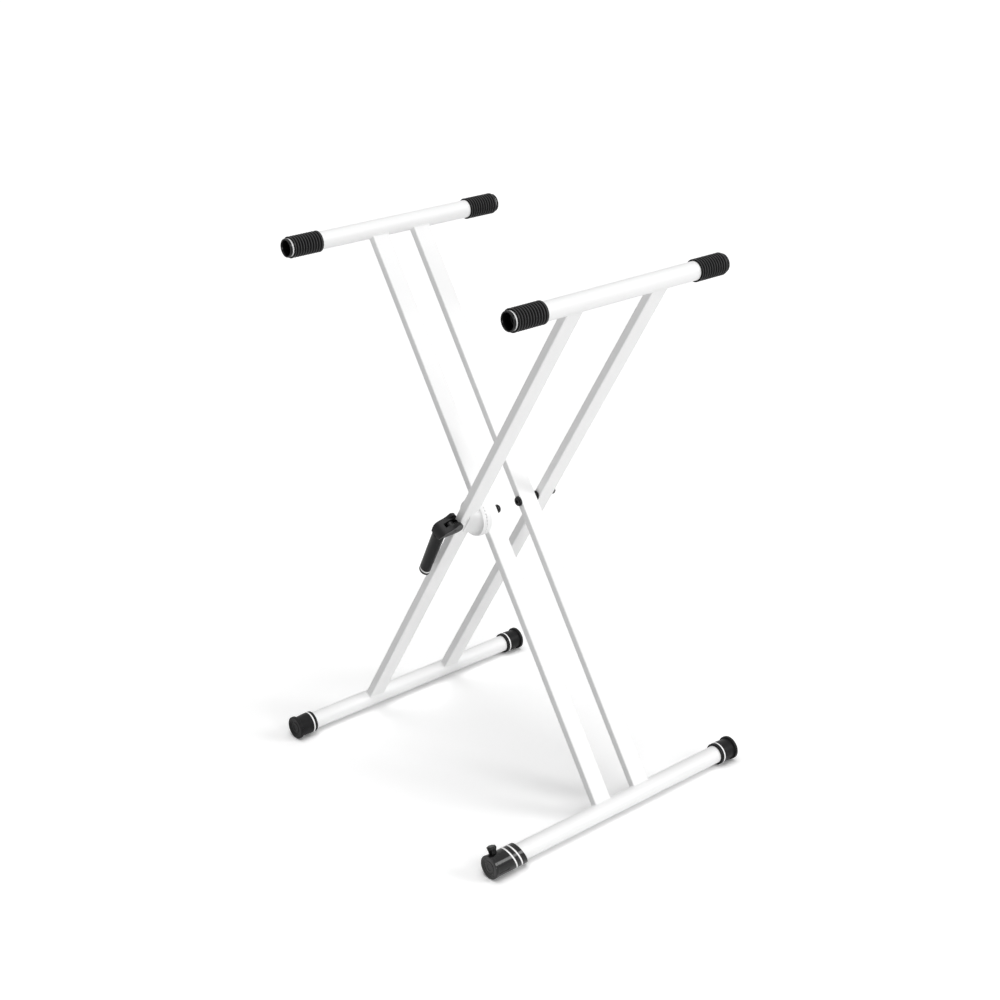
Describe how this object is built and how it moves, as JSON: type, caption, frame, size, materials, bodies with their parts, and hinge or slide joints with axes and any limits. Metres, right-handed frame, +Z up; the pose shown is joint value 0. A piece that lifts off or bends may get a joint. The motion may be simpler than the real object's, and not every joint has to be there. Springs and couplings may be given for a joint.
{
  "type": "double x keyboard stand",
  "caption": "Folding double-X keyboard stand with round top and foot tubes, ribbed rubber grips, a toothed cam-lever lock at the pivot and a levelling foot.",
  "frame": {"origin": "middle of the base of the stand's box, on the floor", "axes": "+Z up; +Y along the foot and top tubes, from the lever side to the far side; +X across the stand, from the foot of the outer frame to the foot of the inner frame"},
  "size_m": [0.6384, 0.5756, 0.96],
  "materials": {
    "powder_coat": "satin white powder coat",
    "black_rubber": "matte black rubber",
    "black_plastic": "black moulded plastic",
    "ring_plastic": "white plastic",
    "blackened_steel": "blackened steel",
    "bright_steel": "zinc-plated steel"
  },
  "bodies": {
    "outer_frame": {"outer_leg_near": "powder_coat", "outer_leg_far": "powder_coat", "outer_foot_tube": "powder_coat", "outer_top_tube": "powder_coat", "outer_grip_near": "black_rubber", "outer_grip_far": "black_rubber", "outer_end_plug_near": "black_plastic", "outer_end_plug_far": "black_plastic", "outer_foot_cap_near": "black_rubber", "outer_foot_cap_far": "black_rubber", "outer_cap_ring_near": "ring_plastic", "outer_cap_ring_far": "ring_plastic", "outer_clutch_hub": "powder_coat", "outer_near_sleeve": "bright_steel", "outer_far_sleeve": "bright_steel", "far_pivot_bolt": "blackened_steel", "far_pivot_nut": "blackened_steel", "far_spring_washer": "black_rubber", "release_spring": "bright_steel"},
    "pull_rod": {"pull_rod": "bright_steel", "lever_pin": "blackened_steel", "near_washer": "blackened_steel", "near_cap_nut": "blackened_steel"},
    "lever": {"lever_head": "black_plastic", "lever_handle": "black_rubber", "lever_ring": "ring_plastic", "lever_end_cap": "black_rubber"},
    "inner_frame": {"inner_leg_near": "powder_coat", "inner_leg_far": "powder_coat", "inner_foot_tube": "powder_coat", "inner_top_tube": "powder_coat", "inner_grip_near": "black_rubber", "inner_grip_far": "black_rubber", "inner_end_plug_near": "black_plastic", "inner_end_plug_far": "black_plastic", "inner_foot_cap_far": "black_rubber", "inner_cap_ring_far": "ring_plastic", "inner_clutch_disc": "powder_coat", "inner_near_sleeve": "bright_steel", "inner_far_sleeve": "bright_steel", "levelling_foot_body": "black_plastic", "levelling_foot_ring_1": "ring_plastic", "levelling_foot_ring_2": "ring_plastic"},
    "levelling_screw": {"levelling_knob": "black_plastic", "levelling_spindle": "bright_steel"},
    "levelling_pad": {"levelling_pad": "black_rubber"}
  },
  "joints": [
    {"name": "rod_release", "type": "slide", "parent": "outer_frame", "child": "pull_rod", "axis": [0, 1, 0], "range_m": [0, 0.0025], "deforming": ["release_spring", "far_spring_washer"]},
    {"name": "lever_swing", "type": "hinge", "parent": "pull_rod", "child": "lever", "pos_m": [0, -0.11075, 0.48711], "axis": [-0.8425, 0, 0.5388], "range_deg": [0, 80]},
    {"name": "fold", "type": "hinge", "parent": "pull_rod", "child": "inner_frame", "pos_m": [0, 0.01225, 0.48711], "axis": [0, 1, 0], "range_deg": [-54.8, 60.2]},
    {"name": "levelling_turn", "type": "hinge", "parent": "inner_frame", "child": "levelling_screw", "pos_m": [0.29794, -0.27375, 0.02124], "axis": [0.2924, 0, -0.9563], "range_deg": [0, 2160]},
    {"name": "levelling_travel", "type": "slide", "parent": "inner_frame", "child": "levelling_pad", "axis": [0.2924, 0, -0.9563], "range_m": [0, 0.0075]}
  ],
  "couplings": [
    {"joint": "lever_swing", "follows": "rod_release", "rad_per_m": 558.5},
    {"joint": "levelling_travel", "follows": "levelling_turn", "m_per_rad": 0.00019894}
  ]
}
